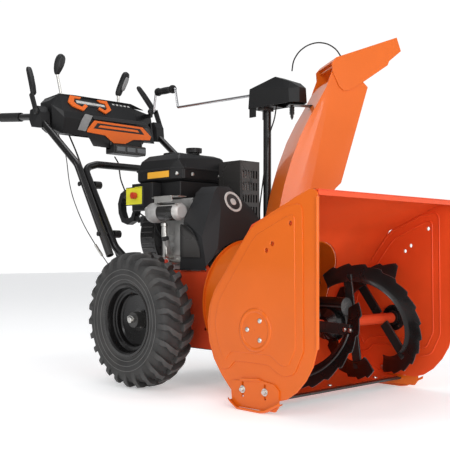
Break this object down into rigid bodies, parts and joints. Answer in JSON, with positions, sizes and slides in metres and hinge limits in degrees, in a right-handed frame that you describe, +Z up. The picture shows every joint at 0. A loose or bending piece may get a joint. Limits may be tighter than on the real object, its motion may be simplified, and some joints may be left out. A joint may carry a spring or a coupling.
{
  "type": "two-stage snow blower",
  "caption": "Walk-behind two-stage snow blower with an orange auger housing, a turning discharge chute, lugged tyres, an engine and a handlebar with a control dash.",
  "frame": {"origin": "on the ground, at the centre of the bottom of the bounding box in the stored pose; the machine's own centre plane is X = -0.033 m, because the turned chute overhangs on the left", "axes": "+Z up; -Y is forwards, the way the auger housing faces, so +Y points to the operator at the handles; +X is the operator's left"},
  "size_m": [0.7526, 1.6199, 1.152],
  "materials": {
    "housing_paint": "orange gloss enamel",
    "frame_paint": "red-orange enamel",
    "black_paint": "satin black paint",
    "black_plastic": "moulded, fine grain",
    "orange_plastic": "satin",
    "red_plastic": "satin",
    "steel": "zinc plated",
    "dark_steel": "oiled",
    "chrome": "bright",
    "cast_aluminium": "as cast",
    "cast_iron": "painted dark",
    "tyre": "matt",
    "rubber": "matt"
  },
  "bodies": {
    "machine": {"housing_wrap": "housing_paint", "side_plate_right": "housing_paint", "side_plate_left": "housing_paint", "scraper_bar": "dark_steel", "skid_shoes": "housing_paint", "housing_fasteners": "steel", "auger_bearings": "black_paint", "impeller_drum": "housing_paint", "auger_gearcase": "cast_iron", "drive_belt": "rubber", "frame_box": "frame_paint", "frame_cover": "frame_paint", "belt_cover": "black_plastic", "engine_block": "cast_aluminium", "engine_shroud": "black_plastic", "blower_housing": "black_paint", "recoil_cover": "black_plastic", "fuel_tank": "black_plastic", "air_intake_cap": "black_plastic", "muffler": "steel", "muffler_guard": "black_paint", "electric_starter": "black_paint", "control_box": "black_plastic", "engine_fittings": "steel", "gearbox_cover": "black_plastic", "chute_post": "black_paint", "crank_eyelet": "black_plastic", "handlebar_lower": "black_paint", "handlebar_upper": "black_paint", "handle_fasteners": "black_plastic", "grips": "rubber", "lever_brackets": "black_plastic", "console_shell": "black_plastic", "console_trim": "orange_plastic", "headlight": "black_plastic", "control_cables": "rubber"},
    "auger": {"auger_rake_right": "black_paint", "auger_rake_left": "black_paint", "auger_shaft": "frame_paint"},
    "impeller_rotor": {"impeller": "black_paint", "impeller_shaft": "dark_steel"},
    "crankshaft": {"engine_pulley": "dark_steel"},
    "wheel_right": {"tyre_right": "tyre", "rim_right": "black_paint"},
    "wheel_left": {"tyre_left": "tyre", "rim_left": "black_paint"},
    "friction_shaft": {"friction_drive": "dark_steel"},
    "chute_body": {"chute": "housing_paint", "chute_pivot": "black_paint", "deflector_cable": "black_plastic"},
    "chute_deflector": {"deflector": "housing_paint"},
    "chute_crank": {"crank_rod": "black_paint"},
    "chute_crank_grip": {"crank_grip": "black_plastic"},
    "speed_selector": {"speed_lever": "black_plastic"},
    "deflector_joystick": {"deflector_stick": "black_plastic"},
    "clutch_right": {"clutch_lever_right": "black_plastic"},
    "clutch_left": {"clutch_lever_left": "black_plastic"},
    "recoil_pull_handle": {"recoil_handle": "black_plastic"},
    "fuel_filler_cap": {"fuel_cap": "black_plastic"},
    "choke": {"choke_knob": "red_plastic"}
  },
  "joints": [
    {"name": "auger_spin", "type": "hinge", "parent": "machine", "child": "auger", "pos_m": [-0.033, -0.603, 0.212], "axis": [1, 0, 0], "continuous": true},
    {"name": "impeller_spin", "type": "hinge", "parent": "machine", "child": "impeller_rotor", "pos_m": [-0.033, -0.303, 0.262], "axis": [0, 1, 0], "continuous": true},
    {"name": "crankshaft_spin", "type": "hinge", "parent": "machine", "child": "crankshaft", "pos_m": [-0.033, -0.123, 0.463], "axis": [0, 1, 0], "continuous": true},
    {"name": "wheel_right_spin", "type": "hinge", "parent": "machine", "child": "wheel_right", "pos_m": [-0.313, -0.074, 0.208], "axis": [1, 0, 0], "continuous": true},
    {"name": "wheel_left_spin", "type": "hinge", "parent": "machine", "child": "wheel_left", "pos_m": [0.247, -0.074, 0.208], "axis": [1, 0, 0], "continuous": true},
    {"name": "friction_shaft_spin", "type": "hinge", "parent": "machine", "child": "friction_shaft", "pos_m": [-0.033, 0.001, 0.272], "axis": [1, 0, 0], "continuous": true},
    {"name": "chute_turn", "type": "hinge", "parent": "machine", "child": "chute_body", "pos_m": [0.055, -0.373, 0.46], "axis": [0, 0, 1], "range_deg": [-150, 35]},
    {"name": "deflector_tilt", "type": "hinge", "parent": "chute_body", "child": "chute_deflector", "pos_m": [0.15677, -0.43659, 0.992], "axis": [-0.5299, -0.848, 0], "range_deg": [-40, 0]},
    {"name": "crank_turn", "type": "hinge", "parent": "machine", "child": "chute_crank", "pos_m": [0.09923, 0.08816, 0.94821], "axis": [0.1474, 0.9872, 0.0607], "range_deg": [-1500, 350]},
    {"name": "crank_grip_spin", "type": "hinge", "parent": "chute_crank", "child": "chute_crank_grip", "pos_m": [0.13765, 0.34545, 1.03617], "axis": [0.1474, 0.9872, 0.0607], "continuous": true},
    {"name": "speed_shift", "type": "hinge", "parent": "machine", "child": "speed_selector", "pos_m": [-0.219, 0.537, 0.945], "axis": [1, 0, 0], "range_deg": [-14, 14]},
    {"name": "stick_tilt", "type": "hinge", "parent": "machine", "child": "deflector_joystick", "pos_m": [0.027, 0.533, 0.945], "axis": [1, 0, 0], "range_deg": [-28, 0]},
    {"name": "clutch_right_press", "type": "hinge", "parent": "machine", "child": "clutch_right", "pos_m": [-0.301, 0.519, 0.925], "axis": [1, 0, 0], "range_deg": [-48, 0], "stiffness_Nm_per_rad": 1.5, "springref_deg": 17.19},
    {"name": "clutch_left_press", "type": "hinge", "parent": "machine", "child": "clutch_left", "pos_m": [0.235, 0.519, 0.925], "axis": [1, 0, 0], "range_deg": [-48, 0], "stiffness_Nm_per_rad": 1.5, "springref_deg": 17.19},
    {"name": "recoil_pull", "type": "slide", "parent": "machine", "child": "recoil_pull_handle", "axis": [0, 1, 0], "range_m": [0, 0.085], "stiffness_N_per_m": 60},
    {"name": "fuel_cap_turn", "type": "hinge", "parent": "machine", "child": "fuel_filler_cap", "pos_m": [-0.033, -0.011, 0.75], "axis": [0, 0, 1], "range_deg": [0, 90]},
    {"name": "choke_turn", "type": "hinge", "parent": "machine", "child": "choke", "pos_m": [-0.173, 0.123, 0.606], "axis": [1, 0, 0], "range_deg": [0, 90]}
  ],
  "couplings": [
    {"joint": "impeller_spin", "follows": "auger_spin", "ratio": -10},
    {"joint": "crank_turn", "follows": "chute_turn", "ratio": 10},
    {"joint": "stick_tilt", "follows": "deflector_tilt", "ratio": 0.7}
  ]
}
